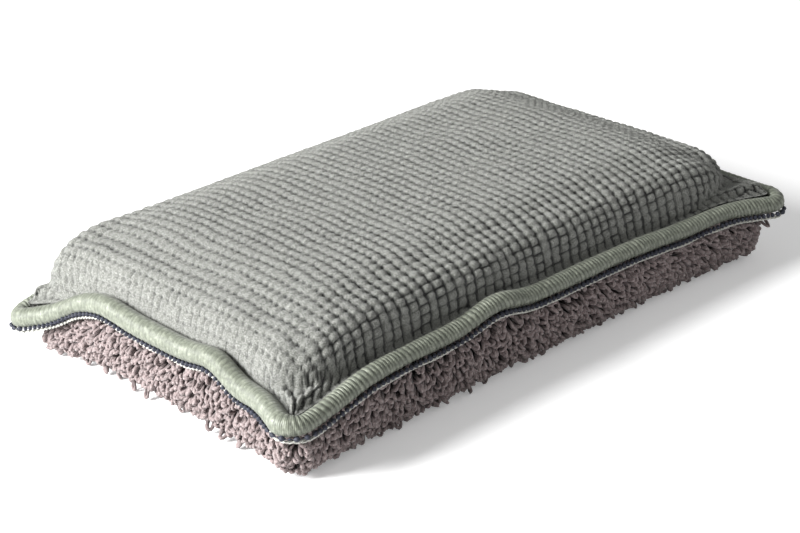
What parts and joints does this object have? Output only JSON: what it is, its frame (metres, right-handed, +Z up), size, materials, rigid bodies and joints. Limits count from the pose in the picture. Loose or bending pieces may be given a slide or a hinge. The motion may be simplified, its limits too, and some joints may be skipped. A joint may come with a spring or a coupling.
{
  "type": "wax applicator pad",
  "caption": "Rectangular soft hand pad with a ribbed knit top, a looped pile underside and an overlocked edge binding.",
  "frame": {"origin": "centre of the footprint, on the plane that the pile's tips rest on", "axes": "+X along the long side, +Y along the short side, +Z up through the knit top"},
  "size_m": [0.1508, 0.0918, 0.031],
  "materials": {
    "foam": "open foam",
    "knit": "ribbed microfibre knit",
    "pile": "looped microfibre pile",
    "binding_thread": "satin wrapped thread",
    "dark_thread": "knotted thread",
    "white_thread": "twisted thread"
  },
  "bodies": {
    "root": {"foam_core": "foam", "knit_cover": "knit", "pile_cover": "pile", "edge_binding": "binding_thread", "looper_thread": "dark_thread", "chain_thread": "white_thread"}
  },
  "joints": []
}
